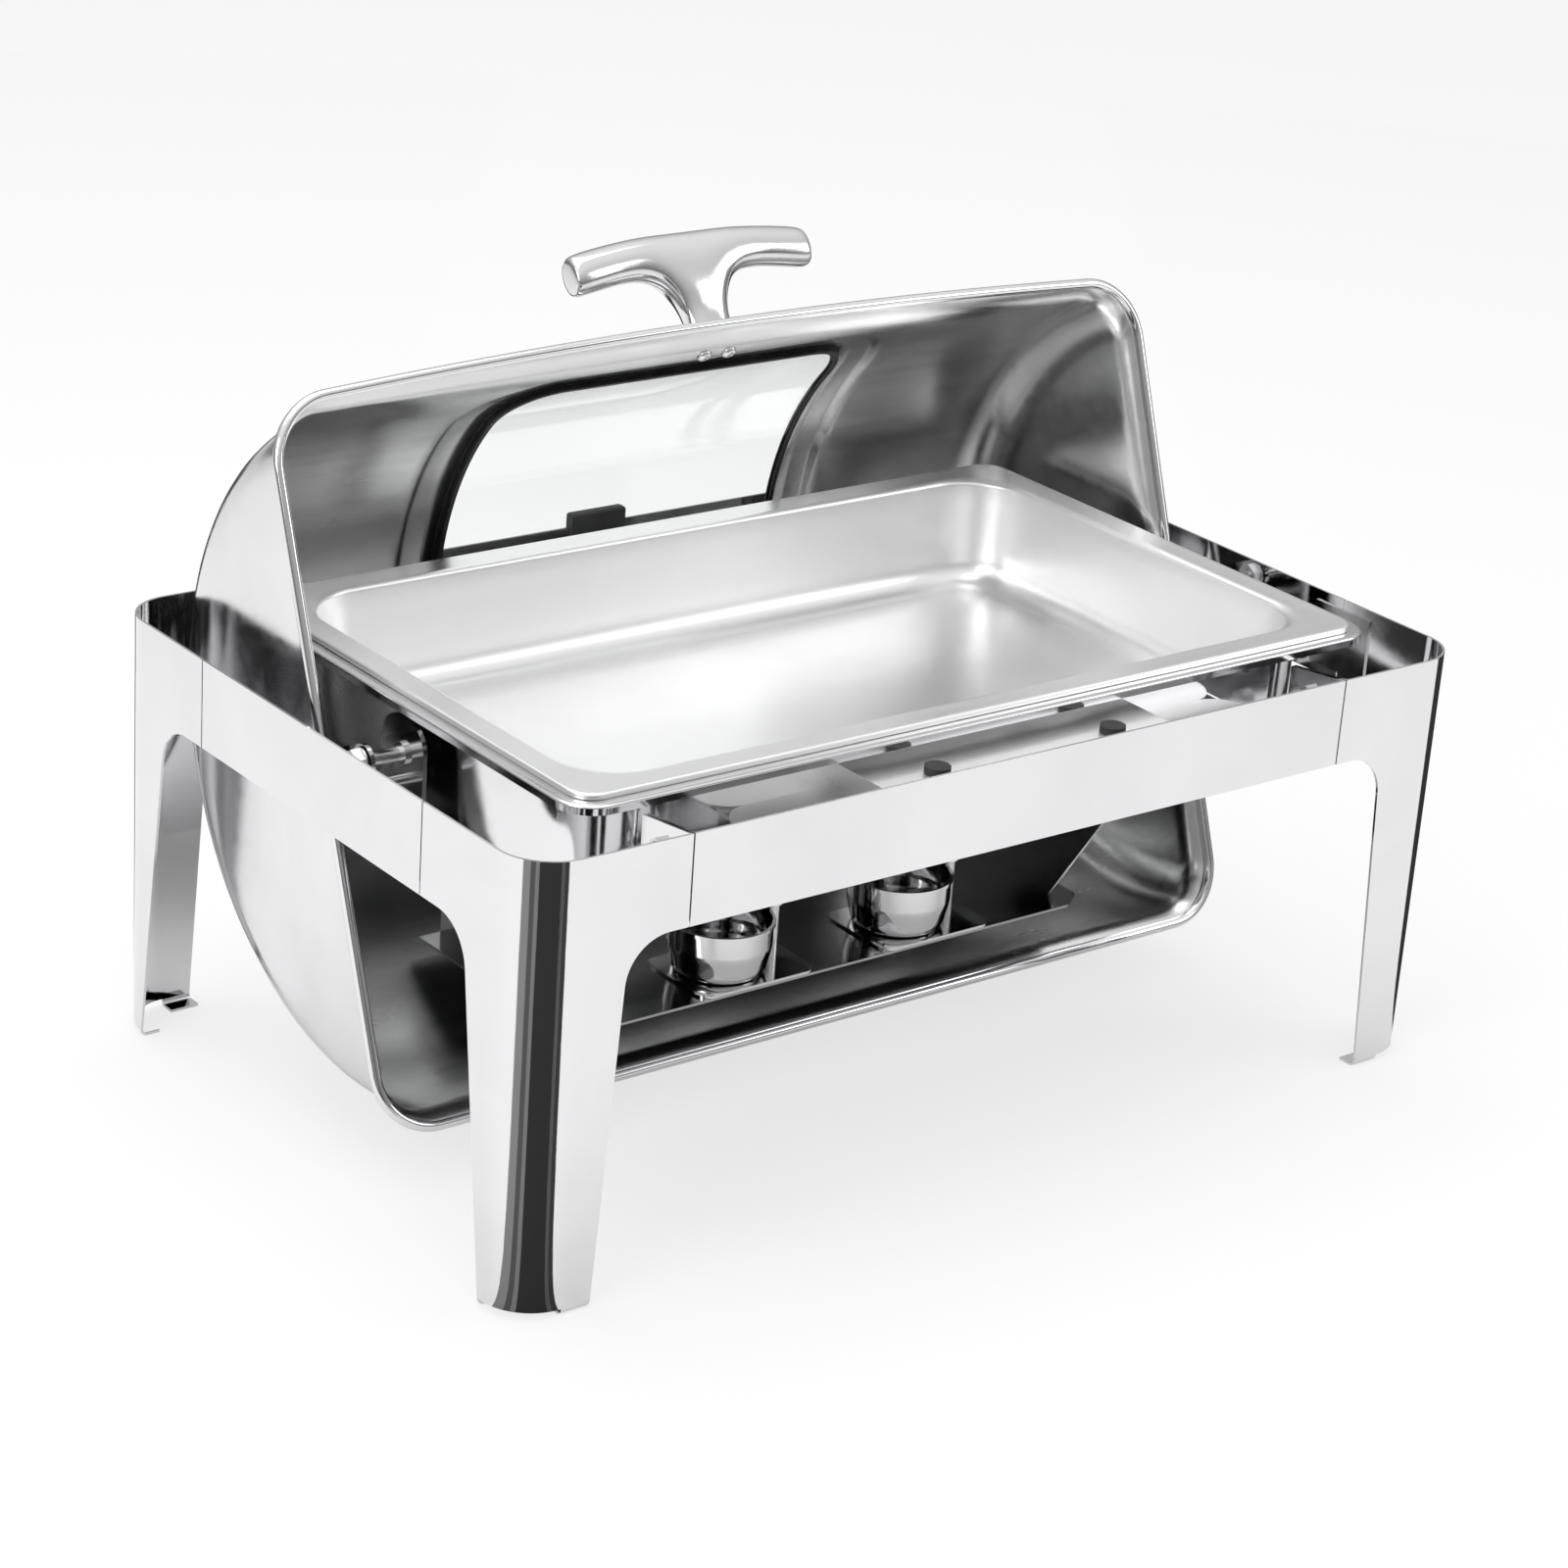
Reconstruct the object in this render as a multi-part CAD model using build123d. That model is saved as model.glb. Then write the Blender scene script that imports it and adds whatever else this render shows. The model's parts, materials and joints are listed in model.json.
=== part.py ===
"""Roll-top chafing dish with a glass window: frame, cradle, pans, two fuel holders and a rolling lid.

Millimetres, +Z up, +X along the front, +Y towards the back. The origin is on the table at the
middle of the frame. The lid is drawn closed and then turned about its pivot to its open pose.
"""
import os
from math import asin, atan2, cos, degrees, radians, sin, sqrt

from build123d import *

os.makedirs("parts", exist_ok=True)

# ---------------------------------------------------------------- driving dimensions
# Frame of bent sheet: four corner legs and four rails
frame_w = 635.0            # overall, along X
frame_d = 409.0            # overall, along Y
frame_h = 250.0            # table to the top edge
frame_corner_r = 30.0
frame_sheet = 1.5
rail_h = 50.0
seam_gap = 0.9             # between a leg and a rail
wing_x = 95.5              # leg's front wing, outer corner to seam
wing_y = 96.0              # leg's side wing, outer corner to seam
leg_top_x = 60.0           # leg's width under the rail, front and side
leg_top_y = 56.0
leg_foot_x = 47.5          # leg's width at the foot, front and side
leg_foot_y = 31.0
arch_r = 26.0              # round corner between leg and rail
hem_w = 12.0               # foot turned inwards
hem_r = 4.0                # outer bend radius of the foot
seam_flange_d = 41.0       # depth of the front seams' inner flanges
seam_flange_drop = 5.0     # how far a flange's top falls away from the rail
seam_screw_r = 2.5
splice_w = 44.0
splice_h = 38.0
splice_t = 1.2

# Pivot line of the lid, which is also the middle of the pans
pivot_y = -7.0
pivot_z = 229.0
pin_r = 4.0
pin_clearance = 0.05       # radial, pin in bush
bush_wall = 1.2

# Pans: a full-size food pan in a deeper water pan
pan_l = 530.0
pan_w = 325.0
pan_depth = 65.0
pan_rim_z = 264.0          # top of the food pan's rim
pan_sheet = 0.9
pan_rim_r = 14.0
pan_mouth_l = 494.0        # inside the basin at its mouth
pan_mouth_w = 284.0
pan_mouth_r = 38.0
pan_floor_r = 16.0
pan_taper = 7.0            # degrees
pan_lip_h = 3.4            # rim's turned-down edge, which sits on the water pan's rim
water_overhang = 7.0       # water pan's rim beyond the food pan's
water_gap = 5.5            # between the two basins at the mouth
water_depth = 82.0
water_taper = 1.0
water_lip_h = 5.0

# Cradle: what hangs behind the front rail and carries pans, fuel and lid
cradle_half = 172.0        # side plates' outer faces
cradle_t = 2.0
bracket_z = 234.0          # top of the front bracket
bracket_t = 1.5
bracket_r = 20.0
bracket_half = 175.0
bracket_flange_h = 28.0
bridge_half = 98.0         # raised box on the bracket
bridge_h = 12.0
bridge_t = 1.2
pan_wall_gap = 0.7         # bracket to water pan wall
strap_w = 40.0
strap_t = 2.5
hinge_gap = 8.0            # hinge plate to water pan wall
hinge_top = 20.0           # hinge plate above the pivot
lap_length = 30.0          # hinge plate's foot under the strap
shelf_z = 66.0             # top of the fuel shelf
shelf_t = 1.5
shelf_half = 186.0
shelf_front = -55.0
shelf_back = 92.0
shelf_chamfer_x = 15.0
shelf_chamfer_y = 11.0
slant_foot = 17.5          # side plate's toe behind the shelf's front edge
slant_top_y = -78.0        # where the side plate's slanted edge turns forwards
slant_top_z = 127.5
neck_w = 18.0              # side plate in front of the water pan
neck_chamfer = 11.0        # inner corner that follows the pan's rounded edge
neck_drop = 15.5           # neck's front corner below the rail

# Lid
lid_half = 290.0           # end plates' outer faces
lid_r = 187.0              # outer radius of the dome
lid_drop = 12.0            # dome's centre below the rim plane
lid_sheet = 1.0
lid_edge_r = 28.0          # between dome and end plates
rim_above_pivot = 27.5
rim_margin_x = 7.0         # rim's bead line beyond the shell
rim_margin_y = 6.5
rim_bow = 9.0              # front edge curves out
rim_corner_r = 34.0
bead_r = 3.0
flange_t = 1.0
open_angle = 110.0
window_half = 120.0
window_mid_angle = 134.0   # round the dome, from the back edge
window_half_angle = 30.0
window_r = 34.0
window_border_x = 26.0     # raised panel beyond the window, at its ends
window_border_y = 14.0     # and along its long edges
window_raise = 3.0
glass_t = 4.0
gasket_web = 1.0           # gasket between the sheet's edge and the glass
gasket_lip = 1.8           # gasket's lips over the sheet and over the glass
gasket_t = 1.0             # thickness of the lips

# Lid arms, handle and stops
arm_t = 2.5
arm_reach = 26.0           # arm up the end plate from the rim
arm_boss_r = 9.0
arm_head_r = 12.0
rivet_r = 2.5
washer_t = 0.8
nut_af = 13.0
nut_h = 5.5
stop_pin_r = 3.0
stop_pin_reach = 14.0      # along the arm's edge from the pivot
handle_above_rim = 15.0
handle_reach = 62.0        # dome to the bar's middle
handle_half = 78.0
handle_droop = 7.0
handle_tilt = 14.0         # degrees the handle leans up from level, lid closed
handle_screw_x = 8.5
handle_screw_r = 2.4
handle_screw_bore = 40.0   # drilled length, both sides of the dome's wall
handle_bar = ((-1.0, 3.0), (-0.96, 7.0), (-0.6, 9.5), (0.0, 11.5), (0.6, 9.5), (0.96, 7.0), (1.0, 3.0))
handle_thin = 0.85         # bar's height against its depth
bumper_r = 7.0
bumper_x = 60.0
stop_gap = 0.3
buffer_half = 19.0
buffer_rise = 9.0
buffer_wall = 2.6
buffer_depth = 15.0

# Fuel holders
cup_x = 64.0
cup_y = -26.0
cup_r = 31.0
cup_foot_r = 21.0
cup_h = 33.0               # shelf to rim
cup_rim = 1.0              # rim's step beyond the wall
cup_bend = 0.28            # share of the height where the foot's curve turns up
cup_wall = 0.55            # share of the height where the wall is upright
cup_sheet = 0.9
cup_base_t = 1.5
cup_base_l = 80.0
cup_base_w = 58.0
post_r = 2.2
post_gap = 6.0             # cup rim to the post's middle
snuffer_r = 32.5
snuffer_t = 1.0
snuffer_open = 62.0        # direction of the open snuffer, degrees from +X
wire_r = 1.5
wire_loop_r = 6.0
running_gap = 0.3

# ---------------------------------------------------------------- derived values
half_w = frame_w / 2
half_d = frame_d / 2
seam_x = half_w - wing_x
seam_y = half_d - wing_y
rail_z = frame_h - rail_h
inner_front = -half_d + frame_sheet
inner_back = half_d - frame_sheet
rim_z = pivot_z + rim_above_pivot
dome_z = rim_z - lid_drop
rim_half_x = lid_half + rim_margin_x
lid_half_y = sqrt(lid_r ** 2 - lid_drop ** 2)
rim_half_y = lid_half_y + rim_margin_y
water_rim_z = pan_rim_z - pan_lip_h
water_mouth_l = pan_mouth_l + 2 * pan_sheet + 2 * water_gap
water_mouth_w = pan_mouth_w + 2 * pan_sheet + 2 * water_gap
water_half_x = water_mouth_l / 2 + pan_sheet
water_half_y = water_mouth_w / 2 + pan_sheet
water_floor_z = water_rim_z - water_depth
strap_z = water_floor_z - strap_t
hinge_in = water_half_x + hinge_gap
hinge_out = hinge_in + strap_t
bracket_back = pivot_y - water_half_y - pan_wall_gap
arm_in = lid_half - lid_sheet - arm_t
arm_out = lid_half - lid_sheet
pivot_axis = Axis((0, pivot_y, pivot_z), (1, 0, 0))


def save(solid, name):
    """Write one node's STEP file."""
    export_step(solid, f"parts/{name}.step")


def box(x0, x1, y0, y1, z0, z1):
    """Box between two corners."""
    size = Box(x1 - x0, y1 - y0, z1 - z0)
    return Pos((x0 + x1) / 2, (y0 + y1) / 2, (z0 + z1) / 2) * size


def rod_x(radius, x0, x1, y, z):
    """Round bar along X."""
    bar = Cylinder(radius, abs(x1 - x0))
    return Pos((x0 + x1) / 2, y, z) * Rot(0, 90, 0) * bar


def rod_z(radius, z0, z1, x, y):
    """Round bar along Z."""
    return Pos(x, y, (z0 + z1) / 2) * Cylinder(radius, z1 - z0)


def plate_yz(points, x0, x1):
    """Flat plate between x0 and x1 with an outline given as (y, z) points."""
    face = make_face(Polyline(*[(x0, y, z) for y, z in points], close=True))
    return extrude(face, amount=x1 - x0, dir=(1, 0, 0))


def opened(solid):
    """Turn a piece of the closed lid to its open pose."""
    return solid.rotate(pivot_axis, -open_angle)


def both_sides(solid, name):
    """Save a piece drawn on the right, and its mirror image on the left."""
    save(solid, f"{name}_right")
    save(mirror(solid, about=Plane.YZ), f"{name}_left")


# ---------------------------------------------------------------- frame
def frame_ring():
    """Whole frame's wall before it is cut into legs and rails."""
    outer = RectangleRounded(frame_w, frame_d, frame_corner_r)
    inner = RectangleRounded(frame_w - 2 * frame_sheet, frame_d - 2 * frame_sheet,
                             frame_corner_r - frame_sheet)
    return extrude(outer - inner, amount=frame_h)


def wing_outline(wing, top, foot):
    """One side of a leg: foot, tapered edge, arch and the stretch of rail, from the outer corner."""
    margin = 5.0
    end = wing - seam_gap / 2
    points = [(-margin, hem_r), (foot, hem_r), (top, rail_z), (end, rail_z), (end, frame_h),
              (-margin, frame_h)]
    face = make_face(Polyline(*points, close=True))
    inner_corner = face.vertices().sort_by_distance((top, rail_z))[0]
    return fillet(inner_corner, arch_r)


def hem(length):
    """Foot of a wing, turned inwards: its section in (X inwards, Z), drawn out along +Y."""
    inner_r = hem_r - frame_sheet
    with BuildLine() as line:
        Line((hem_w, 0), (hem_r, 0))
        ThreePointArc((hem_r, 0), (hem_r * (1 - cos(radians(45))), hem_r * (1 - sin(radians(45)))),
                      (0, hem_r))
        Line((0, hem_r), (frame_sheet, hem_r))
        ThreePointArc((frame_sheet, hem_r),
                      (hem_r - inner_r * cos(radians(45)), hem_r - inner_r * sin(radians(45))),
                      (hem_r, frame_sheet))
        Line((hem_r, frame_sheet), (hem_w, frame_sheet))
        Line((hem_w, frame_sheet), (hem_w, 0))
    face = Plane.XZ * make_face(line.line)
    return extrude(face, amount=length, dir=(0, 1, 0))


def corner_leg():
    """Front left leg: a rounded corner with a tapered wing along each side."""
    front = Plane.XZ * wing_outline(wing_x, leg_top_x, leg_foot_x)
    front = extrude(front, amount=frame_d, both=True)
    side = Plane.YZ * wing_outline(wing_y, leg_top_y, leg_foot_y)
    side = extrude(side, amount=frame_w, both=True)
    corner = Pos(-half_w, -half_d, 0)
    leg = frame_ring() & (corner * front) & (corner * side)
    side_foot = Pos(-half_w, -half_d + frame_corner_r, 0) * hem(leg_foot_y - frame_corner_r + hem_w / 2)
    front_foot = Rot(0, 0, 90) * hem(leg_foot_x - frame_corner_r)
    front_foot = Pos(-half_w + leg_foot_x, -half_d, 0) * front_foot
    keep = box(-half_w, -half_w + leg_foot_x, -half_d, -half_d + leg_foot_y, -1, frame_h)
    return leg + ((side_foot + front_foot) & keep)


def seam_flange(x0, x1):
    """Inner flange beside a front seam, with its two screw holes."""
    y0 = inner_front - frame_sheet / 2
    y1 = -half_d + seam_flange_d
    outline = [(y0, rail_z + 2), (y1, rail_z + 2), (y1, frame_h - seam_flange_drop), (y0, frame_h)]
    flange = plate_yz(outline, x0, x1)
    for z in seam_screw_heights():
        flange -= rod_x(seam_screw_r + 0.1, x0 - 1, x1 + 1, seam_screw_y(), z)
    return flange


def seam_screw_heights():
    """Heights of the two screws in a front seam."""
    return rail_z + rail_h * 0.3, rail_z + rail_h * 0.7


def seam_screw_y():
    """Depth of the screws in a front seam."""
    return -half_d + seam_flange_d * 0.6


def make_frame():
    """Legs, rails, the plates behind the seams and the front seams' screws."""
    leg = corner_leg()
    seam_edge = seam_x + seam_gap / 2
    front_leg = leg + seam_flange(-seam_edge - frame_sheet, -seam_edge)
    save(front_leg, "leg_front_left")
    save(mirror(front_leg, about=Plane.YZ), "leg_front_right")
    save(mirror(leg, about=Plane.XZ), "leg_back_left")
    save(mirror(mirror(leg, about=Plane.XZ), about=Plane.YZ), "leg_back_right")

    ring = frame_ring()
    rail_x = seam_x - seam_gap / 2
    rail_y = seam_y - seam_gap / 2
    front = ring & box(-rail_x, rail_x, -half_d - 1, 0, rail_z, frame_h)
    front += seam_flange(-rail_x, -rail_x + frame_sheet)
    front += seam_flange(rail_x - frame_sheet, rail_x)
    save(front, "front_rail")
    save(ring & box(-rail_x, rail_x, 0, half_d + 1, rail_z, frame_h), "back_rail")
    both_sides(ring & box(0, half_w + 1, -rail_y, rail_y, rail_z, frame_h), "side_rail")

    splice_z = rail_z + (rail_h - splice_h) / 2
    back_splices = []
    side_splices = []
    for sx in (-1, 1):
        x = sx * seam_x
        back_splices.append(box(x - splice_w / 2, x + splice_w / 2, inner_back - splice_t, inner_back,
                                splice_z, splice_z + splice_h))
        wall = half_w - frame_sheet
        for sy in (-1, 1):
            y = sy * seam_y
            x0, x1 = sorted((sx * wall, sx * (wall - splice_t)))
            side_splices.append(box(x0, x1, y - splice_w / 2, y + splice_w / 2,
                                    splice_z, splice_z + splice_h))
    save(Compound(back_splices), "back_seam_plates")
    save(Compound(side_splices), "side_seam_plates")

    for side, name in ((-1, "left"), (1, "right")):
        screws = []
        for z in seam_screw_heights():
            grip = frame_sheet + seam_gap / 2
            x = side * seam_x
            shank = rod_x(seam_screw_r, x - grip - 5, x + grip, seam_screw_y(), z)
            head = rod_x(seam_screw_r * 1.9, x + grip, x + grip + 2.6, seam_screw_y(), z)
            nut = hex_nut(8.0, 4.0, seam_screw_r, x - grip - 4.0, seam_screw_y(), z)
            screws += [shank + head, nut]
        save(Compound(screws), f"seam_screws_{name}")


def hex_nut(across_flats, height, bore_r, x, y, z):
    """Hexagon nut with its axis along X, starting at x."""
    radius = across_flats / sqrt(3)
    nut = extrude(RegularPolygon(radius, 6), amount=height)
    nut -= Pos(0, 0, height / 2) * Cylinder(bore_r, height)
    return Pos(x, y, z) * Rot(0, 90, 0) * nut


# ---------------------------------------------------------------- cradle
def make_cradle():
    """Bracket, bridge, side plates, strap, hinge plates and the fuel shelf."""
    depth = bracket_back - inner_front
    mid_y = (bracket_back + inner_front) / 2
    base = extrude(Rectangle(2 * bracket_half, depth), amount=bracket_t)
    back_corners = base.edges().filter_by(Axis.Z).group_by(Axis.Y)[-1]
    base = Pos(0, mid_y, bracket_z - bracket_t) * fillet(back_corners, bracket_r)
    lip = box(-bracket_half, bracket_half, inner_front, inner_front + bracket_t,
              bracket_z - bracket_flange_h, bracket_z)
    save(base + lip, "front_bracket")

    bridge = box(-bridge_half, bridge_half, inner_front, bracket_back, bracket_z, bracket_z + bridge_h)
    hollow = box(-bridge_half + bridge_t, bridge_half - bridge_t, inner_front - 1,
                 bracket_back - bridge_t, bracket_z - 1, bracket_z + bridge_h - bridge_t)
    save(bridge - hollow, "lid_rest_bridge")

    front_in = inner_front + bracket_t
    pan_front = pivot_y - water_half_y
    toe = shelf_front + slant_foot
    plate = plate_yz([(front_in, bracket_z - bracket_t), (bracket_back, bracket_z - bracket_t),
                      (bracket_back, strap_z + neck_chamfer), (bracket_back + neck_chamfer, strap_z),
                      (shelf_back, strap_z), (shelf_back, shelf_z), (toe, shelf_z),
                      (slant_top_y, slant_top_z), (pan_front - neck_w, rail_z - neck_drop),
                      (pan_front - neck_w, rail_z + 5), (front_in, rail_z + 10)],
                     cradle_half - cradle_t, cradle_half)
    both_sides(plate, "cradle_side")

    strap_half = hinge_in - 6.0
    strap = box(-strap_half, strap_half, pivot_y - strap_w / 2, pivot_y + strap_w / 2,
                strap_z, water_floor_z)
    save(strap, "pan_strap")

    foot_z = strap_z - strap_t
    upright = box(hinge_in, hinge_out, pivot_y - strap_w / 2, pivot_y + strap_w / 2,
                  foot_z, pivot_z + hinge_top)
    top_corners = upright.edges().filter_by(Axis.X).group_by(Axis.Z)[-1]
    upright = fillet(top_corners, strap_w * 0.4)
    foot = box(hinge_out - lap_length, hinge_out, pivot_y - strap_w / 2, pivot_y + strap_w / 2,
               foot_z, strap_z)
    hinge = upright + foot
    hinge -= rod_x(pin_r, hinge_in - 1, hinge_out + 1, pivot_y, pivot_z)
    stop_y, stop_z = stop_pin_place()
    hinge -= rod_x(stop_pin_r, hinge_in - 1, hinge_out + 1, stop_y, stop_z)
    both_sides(hinge, "hinge_plate")

    shelf = box(-shelf_half, shelf_half, shelf_front, shelf_back, shelf_z - shelf_t, shelf_z)
    for side in (-1, 1):
        cut = make_face(Polyline((side * shelf_half, shelf_front), (side * (shelf_half - shelf_chamfer_x),
                                 shelf_front), (side * shelf_half, shelf_front + shelf_chamfer_y),
                                 close=True))
        shelf -= Pos(0, 0, shelf_z - shelf_t - 1) * extrude(cut, amount=shelf_t + 2, dir=(0, 0, 1))
    save(shelf, "fuel_shelf")


def stop_pin_place():
    """Where the lid's arm meets its stop when the lid is open, as (y, z)."""
    head_y, head_z = arm_head_place()
    length = sqrt((head_y - pivot_y) ** 2 + (head_z - pivot_z) ** 2)
    arm = degrees(atan2(head_z - pivot_z, head_y - pivot_y)) - open_angle
    edge = radians(arm) - asin((arm_head_r - arm_boss_r) / length)
    off = arm_boss_r + stop_pin_r + stop_gap
    y = pivot_y + stop_pin_reach * cos(edge) + off * sin(edge)
    z = pivot_z + stop_pin_reach * sin(edge) - off * cos(edge)
    return y, z


def arm_head_place():
    """Middle of the arm's head on the lid's end plate, closed, as (y, z)."""
    return 0.0, rim_z + arm_reach


# ---------------------------------------------------------------- hinge hardware
def make_hinges():
    """Pins, bushes, washers and nuts on the pivot line, and the stop pins."""
    bush_r = pin_r + pin_clearance + bush_wall
    nut_x = lid_half + washer_t
    pin = rod_x(pin_r, hinge_in, nut_x + nut_h + 1.5, pivot_y, pivot_z)
    pin += rod_x(pin_r + 2.5, hinge_out, hinge_out + 2.0, pivot_y, pivot_z)
    both_sides(pin, "hinge_pin")

    bush = rod_x(bush_r, arm_in - 1.0, arm_out + 1.0, pivot_y, pivot_z)
    bush -= rod_x(pin_r + pin_clearance, arm_in - 2.0, arm_out + 2.0, pivot_y, pivot_z)
    both_sides(opened(bush), "hinge_bush")

    nut = hex_nut(nut_af, nut_h, pin_r, nut_x, pivot_y, pivot_z)
    washer = rod_x(nut_af * 0.6, arm_out + 1.0, nut_x, pivot_y, pivot_z)
    washer -= rod_x(pin_r, arm_out, nut_x + 1, pivot_y, pivot_z)
    both_sides(Compound([nut, washer]), "hinge_nut")

    stop_y, stop_z = stop_pin_place()
    both_sides(rod_x(stop_pin_r, hinge_in, arm_out - 0.3, stop_y, stop_z), "lid_stop_pin")


# ---------------------------------------------------------------- pans
def basin(length, width, corner_r, depth, taper, floor_r):
    """Tapered tub with a rounded floor, its mouth at Z = 0."""
    mouth = RectangleRounded(length, width, corner_r)
    tub = extrude(mouth, amount=-depth, taper=taper)
    floor_edges = tub.faces().sort_by(Axis.Z)[0].edges()
    return fillet(floor_edges, floor_r)


def make_pan(rim, mouth, depth, taper, lip_h, z):
    """Pan of thin sheet: basin, flat rim and the rim's turned-down edge."""
    rim_l, rim_w, rim_r = rim
    mouth_l, mouth_w, mouth_r = mouth
    outside = basin(mouth_l + 2 * pan_sheet, mouth_w + 2 * pan_sheet, mouth_r + pan_sheet, depth,
                    taper, pan_floor_r + pan_sheet)
    inside = basin(mouth_l, mouth_w, mouth_r, depth - pan_sheet, taper, pan_floor_r)
    plan = RectangleRounded(rim_l, rim_w, rim_r)
    rim_plate = Pos(0, 0, -pan_sheet) * extrude(plan, amount=pan_sheet)
    lip = plan - RectangleRounded(rim_l - 2 * pan_sheet, rim_w - 2 * pan_sheet, rim_r - pan_sheet)
    lip = Pos(0, 0, -lip_h) * extrude(lip, amount=lip_h)
    return Pos(0, pivot_y, z) * (outside + rim_plate + lip - inside)


def make_pans():
    """Food pan with its rim on the water pan's rim."""
    food = make_pan((pan_l, pan_w, pan_rim_r), (pan_mouth_l, pan_mouth_w, pan_mouth_r),
                    pan_depth, pan_taper, pan_lip_h, pan_rim_z)
    save(food, "food_pan")
    water_rim = (pan_l + 2 * water_overhang, pan_w + 2 * water_overhang, pan_rim_r + water_overhang)
    water_mouth = (water_mouth_l, water_mouth_w, pan_mouth_r + pan_sheet + water_gap)
    save(make_pan(water_rim, water_mouth, water_depth, water_taper, water_lip_h, water_rim_z),
         "water_pan")


# ---------------------------------------------------------------- lid
def dome(radius, half):
    """Solid under a dome of this radius and half-length, closed flat at the rim plane."""
    drum = Pos(0, 0, dome_z) * Rot(0, 90, 0) * Cylinder(radius, 2 * half)
    solid = drum & box(-half - 1, half + 1, -radius - 1, radius + 1, rim_z, dome_z + radius + 1)
    edge_r = lid_edge_r - (lid_r - radius)
    end_arcs = [e for e in solid.edges() if abs(abs(e.center().X) - half) < 0.01
                and e.bounding_box().max.Z > rim_z + 1]
    return fillet(end_arcs, edge_r)


def sector(outer_r, inner_r, half):
    """Ring about the dome's axis between two radii."""
    ring = Cylinder(outer_r, 2 * half) - Cylinder(inner_r, 2 * half + 1)
    return Pos(0, 0, dome_z) * Rot(0, 90, 0) * ring


def window_prism(margin_x, margin_y):
    """Straight prism through the dome with the window's outline grown by the two margins."""
    angle = radians(window_mid_angle)
    outward = (0, cos(angle), sin(angle))
    width = 2 * (window_half + margin_x)
    height = 2 * (lid_r * sin(radians(window_half_angle)) + margin_y)
    corner_r = window_r + min(margin_x, margin_y)
    plane = Plane(origin=(0, 0, dome_z), x_dir=(1, 0, 0), z_dir=outward)
    face = plane * Pos(0, 0, lid_r * 0.4) * RectangleRounded(width, height, corner_r)
    return extrude(face, amount=lid_r)


def lid_shell():
    """Pressed dome with a raised panel round the window opening."""
    shell = dome(lid_r, lid_half) - dome(lid_r - lid_sheet, lid_half - lid_sheet)
    panel = window_prism(window_border_x, window_border_y)
    high_r = lid_r + window_raise
    span = window_half + window_border_x + 5
    shell -= panel
    wall = panel - window_prism(window_border_x - lid_sheet, window_border_y - lid_sheet)
    shell += sector(high_r, lid_r - lid_sheet, span) & wall
    shell += sector(high_r, high_r - lid_sheet, span) & panel
    shell -= window_prism(0, 0)
    for x in (-handle_screw_x, handle_screw_x):
        shell -= handle_screw_hole(x)
    for z in arm_rivet_heights():
        shell -= rod_x(rivet_r, -lid_half - 1, lid_half + 1, 0, z)
    return shell


def handle_wall_y():
    """Depth of the dome's outer face at the handle's height."""
    rise = rim_z + handle_above_rim - dome_z
    return -sqrt(lid_r ** 2 - rise ** 2)


def handle_screw_hole(x):
    """Cutter for one handle screw."""
    y = handle_wall_y()
    hole = Cylinder(handle_screw_r, handle_screw_bore)
    return Pos(x, y, rim_z + handle_above_rim) * Rot(90, 0, 0) * hole


def rim_outline(grow):
    """Rim's plan outline, with its bowed front edge, grown by a margin."""
    x = rim_half_x + grow
    y = rim_half_y + grow
    with BuildLine() as line:
        Polyline((x, -y), (x, y), (-x, y), (-x, -y))
        ThreePointArc((-x, -y), (0, -y - rim_bow), (x, -y))
    face = make_face(line.line)
    return fillet(face.vertices(), rim_corner_r + grow)


def lid_rim():
    """Flat flange under the dome's edge with a rolled bead round it."""
    plan = rim_outline(0)
    opening = RectangleRounded(2 * (lid_half - 1.5 * lid_sheet), 2 * (lid_half_y - 1.5 * lid_sheet),
                               lid_edge_r - 1.5 * lid_sheet)
    flange = Pos(0, 0, rim_z - flange_t) * extrude(plan - opening, amount=flange_t)
    flange -= box(-arm_out, arm_out, pivot_y - arm_head_r - 2, arm_head_r + 2, rim_z - 2, rim_z + 2)
    path = plan.face().outer_wire().moved(Location((0, 0, rim_z - bead_r)))
    section = Plane(origin=path @ 0.1, z_dir=path % 0.1) * Circle(bead_r)
    return flange + sweep(section, path=path)


def lid_arm():
    """Arm on an end plate's inner face, reaching down to the pivot."""
    head_y, head_z = arm_head_place()
    flat = Plane.YZ.offset(arm_in)
    boss = Pos(pivot_y, pivot_z) * Circle(arm_boss_r)
    head = Pos(head_y, head_z) * Circle(arm_head_r)
    outline = make_hull(boss.edges() + head.edges())
    arm = extrude(flat * outline, amount=arm_t)
    arm -= rod_x(pin_r + pin_clearance + bush_wall, arm_in - 1, arm_out + 1, pivot_y, pivot_z)
    for z in arm_rivet_heights():
        arm -= rod_x(rivet_r, arm_in - 1, arm_out + 1, 0, z)
    return arm


def arm_rivet_heights():
    """Heights of an arm's two rivets, closed."""
    return rim_z + arm_reach * 0.45, rim_z + arm_reach


def arm_rivets():
    """Dome-headed rivets through arm and end plate."""
    rivets = []
    for z in arm_rivet_heights():
        shank = rod_x(rivet_r, arm_in, lid_half, 0, z)
        for x0, x1 in ((arm_in - 1.2, arm_in), (lid_half, lid_half + 1.2)):
            shank += rod_x(rivet_r * 1.9, x0, x1, 0, z)
        rivets.append(shank)
    return rivets


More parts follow.
